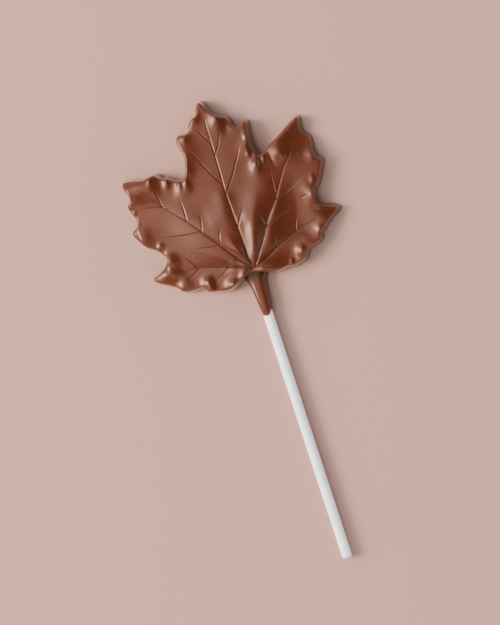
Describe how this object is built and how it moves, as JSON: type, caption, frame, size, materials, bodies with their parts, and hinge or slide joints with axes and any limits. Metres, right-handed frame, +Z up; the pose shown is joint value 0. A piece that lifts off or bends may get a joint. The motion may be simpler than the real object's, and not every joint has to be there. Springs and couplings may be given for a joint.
{
  "type": "chocolate lollipop",
  "caption": "Flat-backed maple leaf moulded in milk chocolate, with engraved veins and a ruffled margin, on a round white paper stick.",
  "frame": {"origin": "on the flat back, under the place where the main veins meet and in line with the stick", "axes": "+Y along the stick to the leaf's tip, +Z up out of the veined face, +X to the right of the face"},
  "size_m": [0.0842, 0.1918, 0.0108],
  "materials": {
    "milk_chocolate": "satin",
    "white_paper": "matt"
  },
  "bodies": {
    "root": {"leaf": "milk_chocolate", "stick": "white_paper"}
  },
  "joints": []
}
